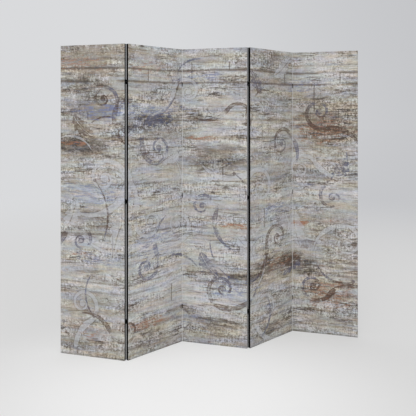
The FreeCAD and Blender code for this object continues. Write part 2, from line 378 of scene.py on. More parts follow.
# Places in the print: from its left end and from its bottom edge
# Scrolls: place, size, turn in degrees, hand, tail side, tail radius, tail sweep
DARK_SCROLLS = (
    ((0.27, 1.47), 0.095, 25, 1, 1, 1.9, 1.5),
    ((0.13, 0.66), 0.105, 205, -1, 1, 2.0, 1.5),
    ((0.62, 1.19), 0.110, 150, 1, -1, 1.8, 1.7),
    ((0.53, 0.50), 0.100, 330, -1, 1, 1.7, 1.6),
    ((0.93, 0.83), 0.095, 20, 1, 1, 1.8, 1.7),
    ((1.06, 0.34), 0.110, 110, -1, -1, 1.7, 1.7),
    ((1.17, 1.37), 0.090, 215, -1, 1, 1.9, 1.5),
    ((1.50, 1.20), 0.100, 300, 1, -1, 1.8, 1.6),
    ((1.78, 1.40), 0.115, 75, -1, 1, 1.6, 1.7),
    ((1.86, 0.86), 0.095, 250, 1, 1, 1.9, 1.5),
    ((1.46, 0.62), 0.105, 170, -1, 1, 1.8, 1.6),
    ((1.74, 0.30), 0.110, 35, -1, 1, 1.7, 1.6),
    ((0.40, 0.17), 0.085, 160, 1, 1, 1.9, 1.5),
)
PALE_SCROLLS = (
    ((0.28, 1.02), 0.140, 15, 1, -1, 1.7, 1.8),
    ((0.56, 0.76), 0.115, 200, 1, 1, 1.8, 1.7),
    ((0.76, 0.72), 0.120, 100, 1, 1, 1.8, 1.6),
    ((0.84, 1.52), 0.100, 190, -1, 1, 1.9, 1.6),
    ((1.30, 0.94), 0.125, 235, -1, 1, 1.8, 1.6),
    ((1.66, 1.04), 0.100, 330, 1, 1, 2.2, 1.6),
    ((1.36, 0.20), 0.115, 175, -1, -1, 1.8, 1.7),
    ((0.14, 0.30), 0.110, 60, 1, 1, 1.8, 1.6),
    ((1.94, 0.58), 0.105, 280, -1, -1, 1.8, 1.6),
)
# Leaves: place of the stalk, size, turn in degrees, bend
DARK_LEAVES = (
    ((0.74, 1.35), 0.22, 195, 0.35),
    ((0.50, 1.36), 0.20, 150, -0.3),
    ((0.92, 0.56), 0.18, 75, 0.4),
    ((1.66, 0.52), 0.20, 115, -0.35),
    ((1.30, 1.50), 0.17, 250, 0.2),
    ((0.08, 1.38), 0.18, 60, 0.3),
    ((1.94, 1.12), 0.19, 100, -0.3),
    ((0.78, 0.22), 0.17, 15, 0.3),
)
PALE_LEAVES = (
    ((0.44, 0.84), 0.26, 130, 0.3),
    ((0.62, 1.08), 0.22, 320, -0.3),
    ((1.14, 0.66), 0.20, 40, -0.3),
    ((1.62, 0.78), 0.24, 95, 0.25),
    ((1.42, 1.62), 0.20, 340, 0.3),
    ((0.10, 0.90), 0.20, 95, -0.3),
)
# Stems: centre of the arc, radius, turn in degrees, sweep, half width
DARK_STEMS = (
    ((0.52, 1.62), 0.26, 70, 1.1, 0.007),
    ((0.30, 1.20), 0.17, 300, 1.3, 0.005),
    ((0.00, 0.80), 0.30, 25, 1.2, 0.006),
    ((0.74, 0.34), 0.20, 330, 1.6, 0.007),
    ((1.22, 0.62), 0.24, 190, 1.2, 0.005),
    ((1.08, 0.92), 0.12, 20, 1.5, 0.006),
    ((1.40, 1.36), 0.20, 250, 1.4, 0.006),
    ((1.74, 1.16), 0.22, 100, 1.3, 0.007),
    ((1.92, 0.50), 0.17, 160, 1.6, 0.007),
    ((1.24, 0.18), 0.15, 60, 1.7, 0.007),
    ((0.34, 0.36), 0.18, 215, 1.4, 0.006),
    ((0.90, 1.58), 0.14, 280, 1.3, 0.006),
)
PALE_STEMS = (
    ((0.34, 0.86), 0.26, 140, 1.4, 0.008),
    ((0.06, 1.10), 0.16, 330, 1.5, 0.007),
    ((0.62, 0.98), 0.18, 30, 1.3, 0.007),
    ((1.80, 0.86), 0.28, 170, 1.3, 0.008),
    ((1.70, 0.62), 0.14, 250, 1.4, 0.007),
    ((1.16, 0.50), 0.18, 80, 1.5, 0.007),
)
# Stains: place, half width, half height, strength
DARK_STAINS = (
    ((0.08, 1.215), 0.200, 0.050, 1.2),
    ((0.19, 1.175), 0.080, 0.035, 1.0),
    ((0.17, 1.53), 0.130, 0.070, 0.25),
    ((0.62, 1.36), 0.130, 0.030, 0.6),
    ((1.02, 1.11), 0.230, 0.085, 0.45),
    ((1.30, 1.13), 0.120, 0.060, 0.30),
    ((1.36, 1.72), 0.170, 0.060, 0.35),
    ((1.82, 1.32), 0.210, 0.100, 0.38),
    ((1.45, 0.47), 0.220, 0.060, 0.95),
    ((1.22, 0.41), 0.200, 0.022, 0.9),
    ((1.66, 0.42), 0.110, 0.060, 0.75),
    ((1.84, 0.25), 0.190, 0.050, 0.50),
    ((0.30, 0.45), 0.240, 0.018, 0.6),
    ((1.02, 0.13), 0.200, 0.030, 0.5),
    ((1.36, 0.08), 0.180, 0.045, 0.5),
    ((0.10, 0.06), 0.170, 0.040, 0.35),
    ((0.90, 1.36), 0.050, 0.050, 0.55),
)
BLUE_STAINS = (
    ((0.30, 1.40), 0.220, 0.060, 0.9),
    ((0.62, 1.41), 0.220, 0.040, 0.7),
    ((0.22, 0.93), 0.230, 0.080, 0.6),
    ((0.90, 1.60), 0.200, 0.040, 0.7),
    ((0.60, 0.62), 0.200, 0.120, 0.55),
    ((1.12, 0.34), 0.180, 0.070, 0.7),
    ((1.42, 0.80), 0.220, 0.050, 0.6),
    ((1.68, 1.56), 0.130, 0.060, 0.5),
    ((0.86, 0.16), 0.140, 0.060, 0.5),
    ((0.24, 0.56), 0.170, 0.060, 0.5),
)
RUST_STAINS = (
    ((0.10, 1.68), 0.200, 0.045, 0.6),
    ((0.10, 1.215), 0.110, 0.018, 0.8),
    ((0.52, 1.66), 0.140, 0.040, 0.6),
    ((0.95, 1.245), 0.130, 0.018, 0.9),
    ((1.12, 0.72), 0.130, 0.020, 1.0),
    ((1.66, 0.695), 0.070, 0.025, 1.2),
    ((1.86, 0.71), 0.060, 0.012, 0.6),
    ((0.56, 0.17), 0.200, 0.035, 0.8),
    ((0.12, 0.58), 0.120, 0.014, 0.7),
    ((1.46, 0.46), 0.200, 0.060, 0.5),
    ((1.80, 1.28), 0.190, 0.110, 0.6),
    ((1.84, 0.26), 0.190, 0.100, 0.7),
    ((0.18, 0.14), 0.120, 0.050, 0.5),
)
# Washes over the boards: place, half width, half height, change of lightness, warmth, wear
WASHES = (
    ((0.16, 1.70), 0.30, 0.14, -0.20, 0.8, 0.00),
    ((0.20, 1.50), 0.26, 0.16, -0.06, -0.1, -0.45),
    ((0.20, 1.45), 0.24, 0.10, -0.20, -0.3, 0.00),
    ((0.12, 1.21), 0.26, 0.10, -0.15, 0.5, 0.10),
    ((0.20, 0.93), 0.26, 0.08, 0.04, -0.8, -0.30),
    ((0.20, 0.76), 0.26, 0.08, -0.20, -0.4, 0.00),
    ((0.20, 0.62), 0.24, 0.08, 0.08, -0.2, -0.25),
    ((0.20, 0.41), 0.24, 0.06, 0.15, 0.0, -0.10),
    ((0.20, 0.23), 0.26, 0.12, -0.10, 0.1, -0.30),
    ((0.20, 0.04), 0.24, 0.07, 0.02, 0.5, 0.35),
    ((0.60, 1.47), 0.22, 0.06, -0.07, -0.1, 0.10),
    ((0.60, 1.32), 0.24, 0.08, -0.13, -0.3, 0.65),
    ((0.60, 1.20), 0.22, 0.05, 0.10, -0.2, -0.30),
    ((0.60, 0.94), 0.22, 0.18, 0.07, -0.1, -0.15),
    ((0.60, 0.62), 0.22, 0.12, 0.10, -0.2, 0.00),
    ((0.60, 0.41), 0.24, 0.09, 0.20, -0.2, -0.05),
    ((1.00, 1.66), 0.22, 0.05, 0.10, 0.0, 0.00),
    ((0.98, 1.43), 0.26, 0.18, 0.06, -0.2, -0.20),
    ((1.02, 1.13), 0.26, 0.10, -0.12, -0.1, -0.20),
    ((1.00, 0.92), 0.24, 0.12, 0.07, -0.2, -0.25),
    ((1.00, 0.60), 0.24, 0.16, 0.06, -0.3, -0.15),
    ((0.98, 0.28), 0.26, 0.11, 0.18, -0.3, -0.30),
    ((1.42, 1.56), 0.24, 0.20, -0.02, 0.2, 0.05),
    ((1.44, 1.26), 0.24, 0.16, -0.03, 0.1, -0.35),
    ((1.44, 0.99), 0.24, 0.07, -0.12, -0.1, -0.10),
    ((1.44, 0.64), 0.24, 0.12, 0.07, -0.2, -0.35),
    ((1.44, 0.43), 0.26, 0.14, -0.04, 1.0, 0.25),
    ((1.86, 1.68), 0.22, 0.12, 0.13, 0.2, -0.25),
    ((1.84, 1.33), 0.26, 0.20, -0.19, 1.0, 0.35),
    ((1.84, 1.08), 0.24, 0.10, 0.02, 0.3, 0.30),
    ((1.80, 0.86), 0.24, 0.10, 0.02, 0.2, -0.20),
    ((1.84, 0.67), 0.20, 0.09, -0.08, 0.4, 0.25),
    ((1.84, 0.36), 0.24, 0.20, -0.06, 0.6, 0.35),
    ((1.84, 0.24), 0.22, 0.08, 0.15, 0.3, 0.10),
    ((1.84, 0.10), 0.22, 0.06, -0.10, 0.5, 0.00),
    ((1.40, 0.08), 0.26, 0.10, -0.02, 0.3, 0.25),
    ((0.56, 0.10), 0.26, 0.10, -0.02, 0.6, 0.20),
    ((1.00, 0.10), 0.22, 0.08, -0.05, 0.4, 0.50),
)
# Board seams: height, and how deep
SEAMS = (
    (1.695, 0.25),
    (1.645, 1.0),
    (1.572, 0.9),
    (1.402, 0.35),
    (1.352, 0.40),
    (1.240, 0.25),
    (1.075, 0.15),
    (0.985, 0.40),
    (0.820, 0.20),
    (0.700, 0.35),
    (0.575, 0.20),
    (0.425, 0.65),
    (0.372, 0.45),
    (0.262, 0.15),
    (0.150, 0.35),
    (0.055, 0.30),
)
# Board ends: place along the boards, from one height to another
BOARD_ENDS = (
    (0.175, 1.352, 1.402),
    (0.545, 1.572, 1.645),
    (0.865, 1.572, 1.695),
    (1.100, 1.645, 1.695),
    (1.060, 0.985, 1.075),
    (1.530, 1.572, 1.645),
    (1.745, 1.402, 1.572),
    (1.905, 1.572, 1.645),
    (0.330, 0.575, 0.700),
    (1.335, 0.700, 0.820),
    (0.720, 0.262, 0.372),
)


# Noises of the print: grain size along and across the boards, seed, detail, roughness
NOISES = {
    "sway": (0.60, 0.30, 1, 2.0, 0.55),
    "jitter": (0.030, 0.010, 3, 3.0, 0.60),
    "broad": (0.90, 0.16, 5, 2.0, 0.55),
    "grain": (0.15, 0.034, 6, 7.0, 0.72),
    "cloud": (0.062, 0.054, 9, 7.0, 0.74),
    "fibre": (0.028, 0.0105, 7, 4.0, 0.70),
    "grit": (0.0110, 0.0110, 10, 3.0, 0.75),
    "cross": (0.0095, 0.050, 11, 3.0, 0.65),
    "worn_along": (0.045, 0.030, 31, 4.0, 0.70),
    "worn_across": (0.060, 0.020, 4, 4.0, 0.70),
    "seam": (0.16, 0.30, 14, 5.0, 0.70),
    "long_crack": (0.50, 0.024, 15, 4.0, 0.60),
    "short_crack": (0.10, 0.016, 40, 4.0, 0.65),
    "frayed_along": (0.024, 0.016, 22, 4.0, 0.75),
    "frayed_across": (0.024, 0.014, 23, 4.0, 0.75),
}
# Patches of the print: the same five values, then the noise where a patch starts and is full
PATCHES = {
    "flake": (0.060, 0.026, 35, 7.0, 0.72, 0.485, 0.525),
    "worn_spots": (0.30, 0.11, 34, 4.0, 0.65, 0.42, 0.62),
    "open_seams": (0.45, 0.12, 38, 3.0, 0.60, 0.38, 0.52),
    "long_cracks": (0.24, 0.06, 16, 3.0, 0.60, 0.50, 0.57),
    "short_cracks": (0.09, 0.040, 41, 3.0, 0.65, 0.56, 0.63),
    "pits": (0.016, 0.0125, 17, 4.0, 0.70, 0.585, 0.64),
    "pitted": (0.10, 0.05, 18, 4.0, 0.65, 0.48, 0.58),
    "chips": (0.034, 0.021, 19, 6.0, 0.75, 0.57, 0.64),
    "chipped": (0.22, 0.12, 20, 3.0, 0.60, 0.46, 0.60),
    "ticks": (0.0065, 0.050, 32, 2.0, 0.50, 0.66, 0.74),
    "ticked": (0.10, 0.07, 33, 2.0, 0.55, 0.50, 0.62),
    "strokes": (0.070, 0.0120, 21, 4.0, 0.65, 0.58, 0.66),
    "kept": (0.14, 0.10, 24, 5.0, 0.70, 0.40, 0.54),
    "kept_fine": (0.030, 0.012, 36, 6.0, 0.75, 0.44, 0.51),
    "kept_pale": (0.20, 0.14, 26, 4.0, 0.65, 0.36, 0.50),
    "warm": (0.30, 0.035, 27, 5.0, 0.70, 0.44, 0.62),
    "cool": (0.26, 0.045, 28, 5.0, 0.70, 0.46, 0.62),
    "greenish": (0.16, 0.050, 39, 5.0, 0.70, 0.40, 0.60),
    "ochre": (0.055, 0.0090, 29, 6.0, 0.78, 0.570, 0.605),
    "ink": (0.070, 0.0095, 30, 6.0, 0.78, 0.560, 0.595),
    "brown_ink": (0.50, 0.40, 37, 2.0, 0.50, 0.46, 0.56),
}
# How far noise pushes the boards, the rims of stains and the rims of ornaments
SWAY = 28 * MM
JITTER = 5 * MM
TEAR = (40 * MM, 20 * MM)
FRAY = (12 * MM, 10 * MM)
# Stains: where one is gone and full, from its centre, as a share of its half size
STAIN_GONE = 1.25
STAIN_FULL = 0.35
# Lines: half width where a line is gone and where it is full. A seam's ragged rims narrow it.
# A crack is a line in a noise, so its two values are that noise's.
SEAM_LINE = (21 * MM, 8 * MM)
SEAM_RAGGED = 18 * MM
END_LINE = (5 * MM, 2 * MM)
CRACK_LINE = (0.030, 0.010)
DARK_RIM = (4 * MM, 1 * MM)
PALE_RIM = (3.5 * MM, 1 * MM)
RIM_INSET = 2.5 * MM
# Ends of boards: how far one runs past its seams or stops short, and how much it is torn
END_OVERRUN = 2 * MM
END_SHORTFALL = 4 * MM
END_TEAR = 0.25
# Ornaments: depth where the paint starts and where it covers
DARK_EDGE = (-1.5 * MM, 2 * MM)
PALE_EDGE = (-1 * MM, 2.5 * MM)
# How strongly the marks show: everywhere, more in worn spots, and at least
EVEN_WEAR = 0.38
SPOT_WEAR = 1.38
LEAST_WEAR = 0.15
# Lightness of the boards before any mark, and their colours from dark to light
PRINT_LEVEL = 0.797
BOARD_COLOURS = (
    (0.00, srgb(56, 51, 48)),
    (0.25, srgb(99, 93, 87)),
    (0.45, srgb(129, 123, 117)),
    (0.58, srgb(149, 144, 140)),
    (0.70, srgb(165, 163, 161)),
    (0.85, srgb(187, 186, 187)),
    (1.00, srgb(209, 208, 210)),
)
# Colours of the print
WARM_TINT = srgb(255, 243, 223)
COOL_TINT = srgb(232, 239, 255)
PINK_TINT = srgb(253, 251, 252)
GREEN_TINT = srgb(250, 255, 249)
CRACK_BROWN = srgb(104, 94, 86)
OCHRE = srgb(156, 107, 78)
INK_BLUE = srgb(103, 115, 156)
PALE_GLAZE = srgb(177, 179, 185)
SCROLL_BLUE = srgb(95, 103, 136)
SCROLL_BROWN = srgb(86, 64, 53)
# Threads of the canvas: from one to the next, along and up the print
THREAD_PITCH = (1.1 * MM, 1.3 * MM)


def stains(place, rows, edge):
    """Soft flat patches with torn edges, from 0 to 1."""

    def patch(centre, half_width, half_height, strength):
        offset = vector_math("SUBTRACT", place, (*centre, 0.0))
        shape = vector_math("DIVIDE", offset, (half_width, half_height, 1.0))
        return smooth(length(shape) + edge, STAIN_GONE, STAIN_FULL) * strength

    return largest(patch(*row) for row in rows)


def washes(place, edge):
    """The change of lightness, of warmth and of wear by the washes."""
    total = (0.0, 0.0, 0.0)
    for centre, half_width, half_height, *changes in WASHES:
        patch = stains(place, ((centre, half_width, half_height, 1.0),), edge)
        total = vector_math("MULTIPLY_ADD", patch, changes, total)
    return parts(total)


def depth_of(place, groups, scrolls, leaves, stems):
    """The depth inside a set of scrolls, leaves and stems."""
    scroll, leaf, stem = groups

    def depths():
        for centre, size, turn, hand, side, radius, sweep in scrolls:
            tail = {"tail_side": side, "tail_radius": radius, "tail_sweep": sweep}
            yield ornament(scroll, place, centre, size, turn, hand=hand, **tail)
        for centre, size, turn, bend in leaves:
            yield ornament(leaf, place, centre, size, turn, bend=bend)
        for centre, radius, turn, sweep, width in stems:
            yield ornament(stem, place, centre, radius, turn, sweep=sweep, width=width)

    return largest(depths())


def line(distance, outer, inner):
    """A line that is full within its inner half width and gone at its outer one."""
    return smooth(calculate("ABSOLUTE", distance), outer, inner)


class PrintedBoards:
    """The fields of the print: whitewashed boards, worn and stained, with faded ornaments.

    The boards are bent by one noise, and as they lie then by a finer one. The rest lies on both."""

    def __init__(self, tree):
        uv = add_node(tree, "ShaderNodeUVMap", {}, uv_map=PRINT_MAP)
        self.u, self.v, _ = parts(uv)
        self.sheet = vector(self.u, self.v)
        self.boards = self.sheet
        sway = self.swing("sway") * SWAY
        self.boards = vector(self.u, self.v + sway)
        jitter = self.swing("jitter") * JITTER
        self.height = self.v + sway + jitter
        self.boards = vector(self.u, self.height)
        self.lay_grain()
        self.lay_stains()
        self.lay_whitewash()
        self.open_seams()
        self.chip_boards()
        self.paint_ornaments()

    def texture(self, along, across, seed, detail, roughness, place=None):
        """Noise of a given grain size along and across the boards, from 0 to 1."""
        stretch = (1 / along, 1 / across, 1)
        place = place or self.boards
        return noise(place, detail=detail, roughness=roughness, stretch=stretch, seed=seed)

    def swing(self, name, place=None):
        """One of the noises as a swing about 0."""
        return self.texture(*NOISES[name], place) - 0.5

    def patches(self, name, push=None, place=None):
        """One of the patches, from 0 to 1; a push makes more of it."""
        *grain, start, full = PATCHES[name]
        field = self.texture(*grain, place)
        if push is not None:
            field = field + push
        return smooth(field, start, full)

    def lay_grain(self):
        """The marks of the wood, from broad to fine."""
        self.broad = self.swing("broad")
        self.grain = self.swing("grain")
        self.cloud = self.swing("cloud")
        self.fibre = self.swing("fibre")
        self.grit = self.swing("grit")
        self.cross = self.swing("cross", self.sheet)
        self.flake = self.patches("flake") - 0.5

    def lay_stains(self):
        """Stains and washes with torn edges, and how strongly each place is marked."""
        tear_along, tear_across = TEAR
        self.worn_u = self.u + self.swing("worn_along") * tear_along
        worn = vector(self.worn_u, self.height + self.swing("worn_across") * tear_across)
        torn = self.cloud * 1.6 + self.grain * 1.8
        self.dark = stains(worn, DARK_STAINS, torn)
        wash_edge = self.broad * 0.8 + torn * 0.7
        self.wash_light, self.wash_warm, wash_wear = washes(worn, wash_edge)
        worn_spots = self.patches("worn_spots", 0.2 * self.cloud)
        wear = EVEN_WEAR + SPOT_WEAR * worn_spots + wash_wear
        self.busy = calculate("MAXIMUM", wear, LEAST_WEAR)
        self.blue = stains(worn, BLUE_STAINS, torn)
        self.rust = stains(worn, RUST_STAINS, torn)

    def lay_whitewash(self):
        """Where the whitewash is rubbed off and where it is fresh."""
        self.bare = smooth(self.grain + 0.7 * self.cloud + 0.5 * self.fibre, -0.02, -0.14)
        cover = 0.8 * self.grain + self.cloud + 0.6 * self.fibre + 0.8 * self.broad
        self.fresh = smooth(cover, 0.06, 0.20)

    def open_seams(self):
        """Seams between the boards, ends of boards, and cracks along them."""
        ragged = self.texture(*NOISES["seam"]) * SEAM_RAGGED

        def seam_line(level, strength):
            distance = calculate("ABSOLUTE", self.height - level)
            return smooth(distance + ragged, *SEAM_LINE) * strength

        def end_line(place, low, high):
            torn_u = self.worn_u * END_TEAR + self.u * (1 - END_TEAR)
            from_middle = calculate("ABSOLUTE", self.height - (low + high) / 2)
            half = (high - low) / 2
            inside = smooth(from_middle, half + END_OVERRUN, half - END_SHORTFALL)
            return line(torn_u - place, *END_LINE) * inside

        seam = largest(seam_line(*row) for row in SEAMS)
        self.seam = seam * self.patches("open_seams")
        self.board_end = largest(end_line(*row) for row in BOARD_ENDS)
        long_crack = line(self.swing("long_crack"), *CRACK_LINE)
        long_crack = long_crack * self.patches("long_cracks")
        short_crack = line(self.swing("short_crack"), *CRACK_LINE)
        short_crack = short_crack * self.patches("short_cracks")
        self.crack = calculate("MAXIMUM", long_crack, short_crack)

    def chip_boards(self):
        """Small marks: pits, chips, upright ticks, and pale strokes of the brush."""
        self.pits = self.patches("pits") * self.patches("pitted")
        self.chips = self.patches("chips") * self.patches("chipped")
        self.ticks = self.patches("ticks", place=self.sheet) * self.patches("ticked")
        self.strokes = self.patches("strokes")

    def paint_ornaments(self):
        """Dark and pale ornaments with frayed rims, partly rubbed off."""
        groups = (make_scroll_group(), make_leaf_group(), make_stem_group())
        fray_along, fray_across = FRAY
        frayed_u = self.u + self.swing("frayed_along") * fray_along
        frayed_v = self.v + self.swing("frayed_across") * fray_across
        frayed = vector(frayed_u, frayed_v)
        dark_depth = depth_of(frayed, groups, DARK_SCROLLS, DARK_LEAVES, DARK_STEMS)
        pale_depth = depth_of(frayed, groups, PALE_SCROLLS, PALE_LEAVES, PALE_STEMS)
        kept = self.patches("kept", 0.16 * self.dark)
        kept = kept * (0.35 + 0.65 * self.patches("kept_fine"))
        rim = line(dark_depth - RIM_INSET, *DARK_RIM)
        dark = smooth(dark_depth, *DARK_EDGE) * kept * (0.62 + 0.38 * rim)
        self.dark_scroll = dark * (1.0 + 0.7 * self.rust)
        kept_pale = self.patches("kept_pale")
        self.pale_scroll = smooth(pale_depth, *PALE_EDGE) * kept_pale
        self.pale_rim = line(pale_depth + RIM_INSET, *PALE_RIM) * kept_pale

    def lightness(self):
        """How light the print is, from 0 to 1: each field by its gain, and grain in dark stains."""
        gains = (
            (self.broad, 0.40),
            (self.grain * self.busy, 0.31),
            (self.cloud * self.busy, 0.46),
            (self.fibre * self.busy, 0.44),
            (self.grit * self.busy, 1.26),
            (self.cross * self.busy, 0.74),
            (self.flake, 0.075),
            (self.wash_light, 1.0),
            (self.fresh, 0.04),
            (self.strokes, 0.10),
            (self.pale_scroll, 0.06),
            (self.pale_rim, -0.12),
            (self.bare * self.busy, -0.08),
            (self.blue, -0.01),
            (self.rust, -0.03),
            (self.seam, -0.42),
            (self.board_end, -0.26),
            (self.crack * self.busy, -0.42),
            (self.pits * self.busy, -0.60),
            (self.chips * (0.6 + 1.6 * self.rust), -0.34),
            (self.ticks, -0.28),
            (self.dark_scroll, -0.46),
        )
        total = summed(field * gain for field, gain in gains)
        total = total - self.dark * (0.36 - 1.0 * self.grain - 0.8 * self.fibre)
        return total + PRINT_LEVEL

    def colour(self):
        """The boards by their lightness, tinted, then covered by marks, stains and ornaments."""
        colour = ramp(self.lightness(), *BOARD_COLOURS)
        warmth = self.patches("warm", 0.15 * self.broad)
        coolness = self.patches("cool")
        washed_warm = calculate("MAXIMUM", self.wash_warm, 0.0)
        washed_cool = calculate("MAXIMUM", self.wash_warm * -1.0, 0.0)
        warm = calculate("ADD", warmth * 0.85, washed_warm * 0.55, clamp=True)
        washed_cool = washed_cool * 0.5 + self.blue * 0.2
        cool = calculate("ADD", coolness * 0.85, washed_cool, clamp=True)
        colour = mix(warm, colour, WARM_TINT, "MULTIPLY")
        colour = mix(cool, colour, COOL_TINT, "MULTIPLY")
        tint = mix(self.patches("greenish"), PINK_TINT, GREEN_TINT)
        colour = mix(1.0, colour, tint, "MULTIPLY")
        seam_brown = calculate("MAXIMUM", self.seam, self.board_end)
        hole_brown = calculate("MAXIMUM", self.crack, self.pits) * 0.8
        brown = calculate("MAXIMUM", seam_brown, hole_brown)
        colour = mix(brown * 0.5, colour, CRACK_BROWN)
        ochre = self.patches("ochre", 0.10 * self.rust)
        colour = mix(ochre * (0.32 + self.rust * 0.50), colour, OCHRE)
        ink = self.patches("ink", 0.08 * self.blue)
        colour = mix(ink * (0.26 + self.blue * 0.50), colour, INK_BLUE)
        colour = mix(self.pale_scroll * 0.48, colour, PALE_GLAZE)
        brown_ink = self.patches("brown_ink", 0.4 * self.rust)
        scroll_ink = mix(brown_ink, SCROLL_BLUE, SCROLL_BROWN)
        return mix(self.dark_scroll * 0.64, colour, scroll_ink)

    def weave(self):
        """The threads of the canvas."""
        along, up = (2 * math.pi / pitch for pitch in THREAD_PITCH)
        return calculate("SINE", self.u * along) * calculate("SINE", self.v * up)


# Materials
def make_print():
    """Canvas printed with whitewashed boards and worn ornaments."""
    material, tree, shader = new_material("printed_canvas")
    boards = PrintedBoards(tree)
    colour = boards.colour()
    relief = bump(boards.weave() + boards.fibre * 0.5, 0.05 * MM)
    roughness = 0.78 + 0.10 * boards.cloud - 0.05 * boards.dark
    connect(shader, Base_Color=colour, Roughness=roughness, Normal=relief)
    return material


def make_band():
    """Satin black cloth tape, dusty in spots."""
    material, tree, shader = new_material("black_edge_band")
    clean = srgb(8, 8, 9)
    dusty = srgb(24, 24, 25)
    place = object_place(tree)
    dust = noise(place, scale=220.0, detail=3.0, roughness=0.6)
    rub = noise(vector_math("MULTIPLY", place, (60.0, 60.0, 6.0)))
    colour = mix(smooth(dust, 0.45, 0.75) * 0.5, clean, dusty)
    relief = bump(noise(place, scale=1400.0) + 0.6 * rub, 0.05 * MM)
    connect(shader, Base_Color=colour, Roughness=0.46 + 0.16 * rub, Normal=relief)
    shader.inputs["Specular IOR Level"].default_value = 0.10
    return material


def make_hinge_metal():
    """Steel with a thin black coat, paler in its grain and smudged."""
    material, tree, shader = new_material("black_hinge_steel")
    coat = srgb(7, 7, 8)
    rubbed = srgb(28, 27, 26)
    place = object_place(tree)
    grain = noise(place, scale=900.0, detail=3.0, roughness=0.6)
    smudge = noise(place, scale=160.0)
    colour = mix(smooth(grain, 0.5, 0.8) * 0.4, coat, rubbed)
    relief = bump(grain, 0.02 * MM)
    connect(shader, Base_Color=colour, Roughness=0.30 + 0.25 * smudge, Normal=relief)
    shader.inputs["Metallic"].default_value = 0.25
    shader.inputs["Specular IOR Level"].default_value = 0.25
    return material


def make_screw_metal():
    """Black steel, worn brighter in its grain."""
    material, tree, shader = new_material("black_screw_steel")
    black = srgb(22, 22, 23)
    worn = srgb(60, 58, 56)
    place = object_place(tree)
    grain = noise(place, scale=1600.0, detail=3.0, roughness=0.6)
    colour = mix(smooth(grain, 0.45, 0.75), black, worn)
    relief = bump(grain, 0.02 * MM)
    connect(shader, Base_Color=colour, Roughness=0.28 + 0.2 * grain, Normal=relief)
    shader.inputs["Metallic"].default_value = 0.7
    return material


def make_timber():
    """Planed softwood with upright grain and fine dark pores."""
    material, tree, shader = new_material("planed_softwood")
    pore_brown = srgb(140, 100, 62)
    place = object_place(tree)
    fibres = vector_math("MULTIPLY", place, (180.0, 180.0, 5.0))
    grain = noise(fibres, detail=4.0, roughness=0.6, distortion=0.4)
    pores = noise(vector_math("MULTIPLY", place, (1500.0, 1500.0, 60.0)))
    colour = ramp(
        grain,
        (0.30, srgb(168, 128, 84)),
        (0.48, srgb(206, 171, 122)),
        (0.70, srgb(224, 194, 150)),
    )
    colour = mix(smooth(pores, 0.55, 0.75) * 0.35, colour, pore_brown)
    relief = bump(grain + 0.3 * pores, 0.15 * MM)
    connect(shader, Base_Color=colour, Roughness=0.55 + 0.2 * pores, Normal=relief)
    return material


# Pieces
# Grid of a canvas: columns between the stiles, rows below each hinge and above the highest
CANVAS_COLUMNS = 12
ROWS_BELOW_HINGE = 12
ROWS_ABOVE_HINGES = 8
# Sag: its depth, and how far from the frame it mostly reaches that
SAG_DEPTH = 0.22 * MM
SAG_SPREAD = 14 * MM
# Eased edges: how wide, and in how many steps
CANVAS_EASE = 0.2 * MM
SCREW_EASE = 0.08 * MM
LEAF_EASE = 0.15 * MM
PIN_EASE = 0.12 * MM
EASE_STEPS = 2
# Degrees: the least turn at an edge of cloth or metal that is eased, the most at a flat joint
CLOTH_EDGE = 45
METAL_EDGE = 35
FLAT_JOINT = 1
# Points nearer to each other than this are one
WELD = 0.001 * MM


def panel_place(panel):
    """The frame of one panel: x across it, y from front to back."""
    low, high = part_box(f"panel_{panel}_edge_band")
    turn = HALF_FOLD if panel % 2 == 0 else -HALF_FOLD
    middle = (low + high) / 2
    return Matrix.Translation((middle.x, middle.y, 0)) @ Matrix.Rotation(turn, 4, "Z")


def steps(low, high, count):
    """Evenly spaced places between two ends, without the second end."""
    return [low + (high - low) * i / count for i in range(count)]


def sag(x, z):
    """How far the cloth lies back between the members of the frame."""
    side = PANEL_WIDTH / 2 - STILE_WIDTH - abs(x)
    end = min(z, PANEL_HEIGHT - z) - STILE_WIDTH
    clear = min(side, end)
    if clear <= 0:
        return 0.0
    return SAG_DEPTH * (1 - math.exp(-clear / SAG_SPREAD))


def sharp_edges(mesh, degrees):
    """The edges between two faces that turn by more than an angle."""
    return [
        edge
        for edge in mesh.edges
        if len(edge.link_faces) == 2 and edge.calc_face_angle(0) > math.radians(degrees)
    ]


def ease(mesh, edges, width, clamp_overlap=False):
    """Round edges off and shade the whole mesh as one surface."""
    bmesh.ops.bevel(
        mesh,
        geom=edges,
        offset=width,
        offset_type="OFFSET",
        segments=EASE_STEPS,
        affect="EDGES",
        clamp_overlap=clamp_overlap,
    )
    for face in mesh.faces:
        face.smooth = True


def add_piece(mesh, name, material):
    """Turn a mesh in the making into an object of the scene."""
    data = bpy.data.meshes.new(name)
    mesh.to_mesh(data)
    mesh.free()
    data.materials.append(material)
    item = bpy.data.objects.new(data.name, data)
    scene.collection.objects.link(item)
    return item


def hinge_stretches():
    """The lowest and highest point of each hinge of a joint."""
    middles = (HINGE_INSET, PANEL_HEIGHT / 2, PANEL_HEIGHT - HINGE_INSET)
    return [(middle - HINGE_SPAN / 2, middle + HINGE_SPAN / 2) for middle in middles]


def canvas_columns():
    """The upright lines of a canvas's grid."""
    half = PANEL_WIDTH / 2
    clear = half - STILE_WIDTH
    left = [-half, -half + SLIT_DEPTH, -half + STILE_WIDTH / 2]
    right = [clear, half - STILE_WIDTH / 2, half - SLIT_DEPTH, half]
    return left + steps(-clear, clear, CANVAS_COLUMNS) + right


